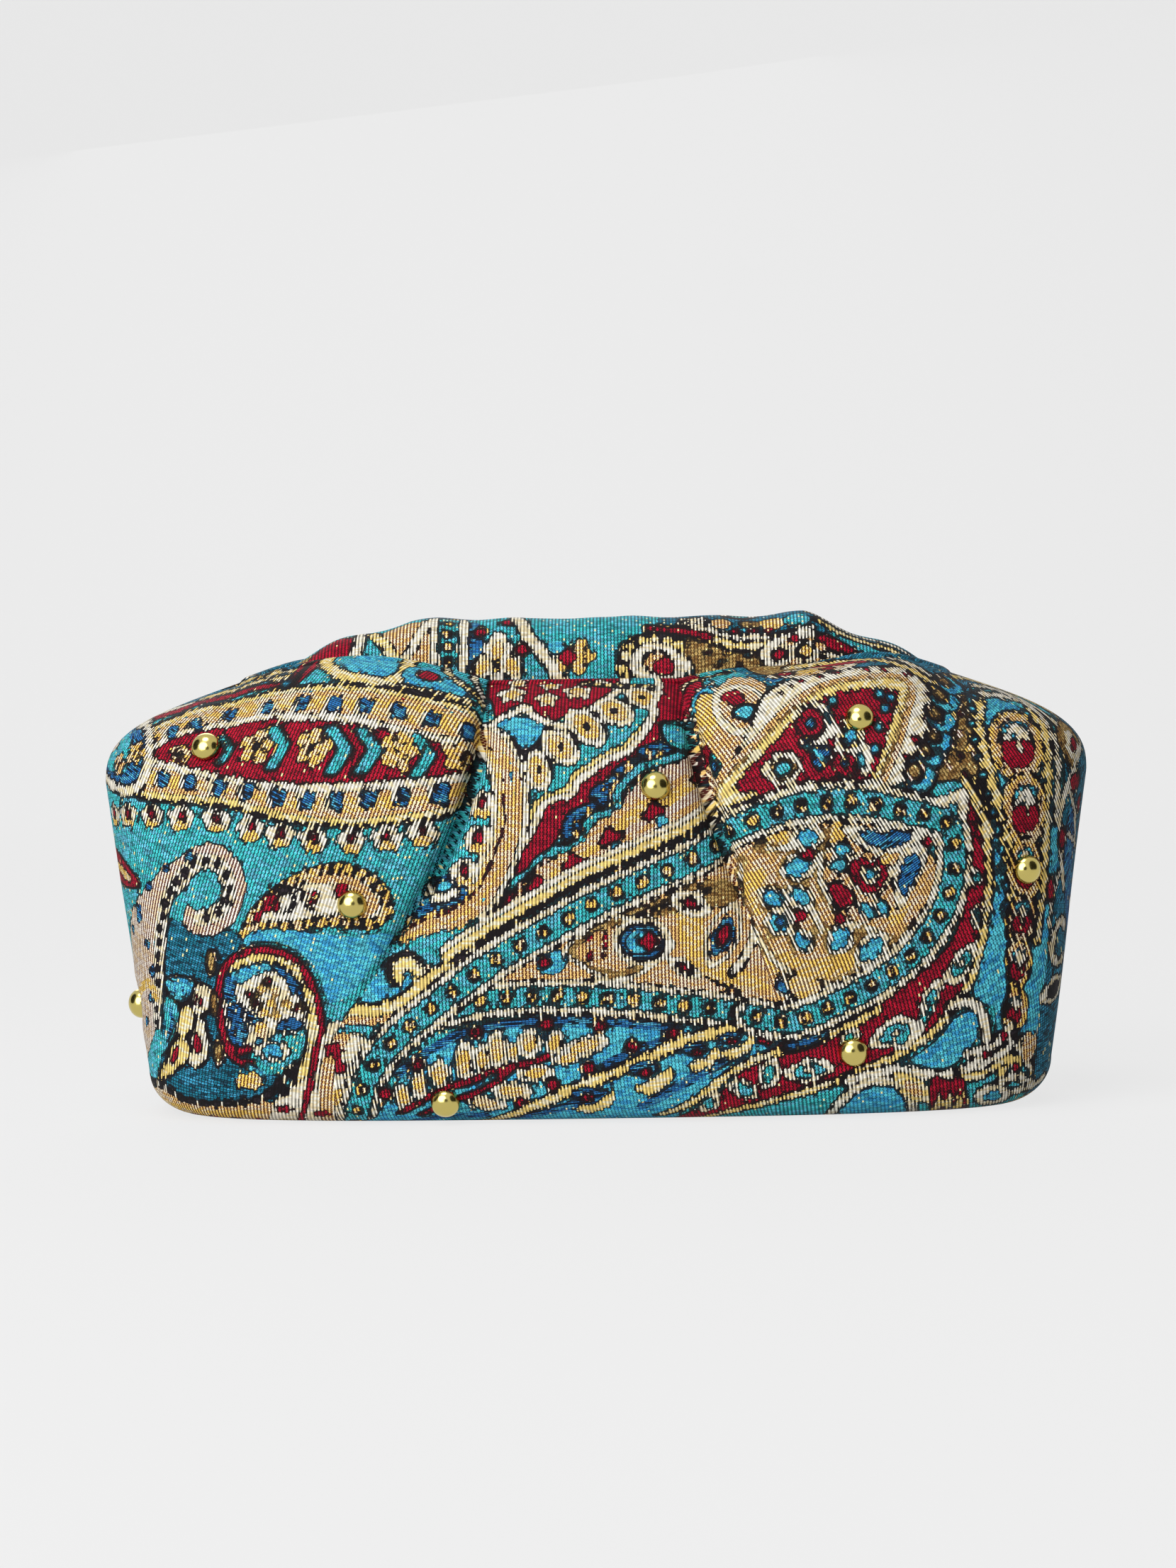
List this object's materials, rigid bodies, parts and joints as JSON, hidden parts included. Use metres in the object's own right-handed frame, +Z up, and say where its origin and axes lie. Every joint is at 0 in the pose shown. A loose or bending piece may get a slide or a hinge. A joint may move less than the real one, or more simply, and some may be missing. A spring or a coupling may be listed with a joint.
{
  "type": "puffy clutch bag",
  "caption": "Full, pleated clutch bag of figured tapestry cloth with a rolled top band and scattered domed brass studs, closed and standing on its flat base.",
  "frame": {"origin": "centre of the base, on the surface that the bag stands on", "axes": "+X along the bag's width, -Y towards the front, +Z up"},
  "size_m": [0.302, 0.1166, 0.1518],
  "materials": {
    "body_cloth": "jacquard weave, matt with a slight sheen",
    "band_cloth": "jacquard weave, matt with a slight sheen",
    "stud_brass": "polished",
    "rivet_metal": "plain"
  },
  "bodies": {
    "root": {"pleated_body": "body_cloth", "top_band": "band_cloth", "stud_domes": "stud_brass", "stud_rivets": "rivet_metal"}
  },
  "joints": []
}
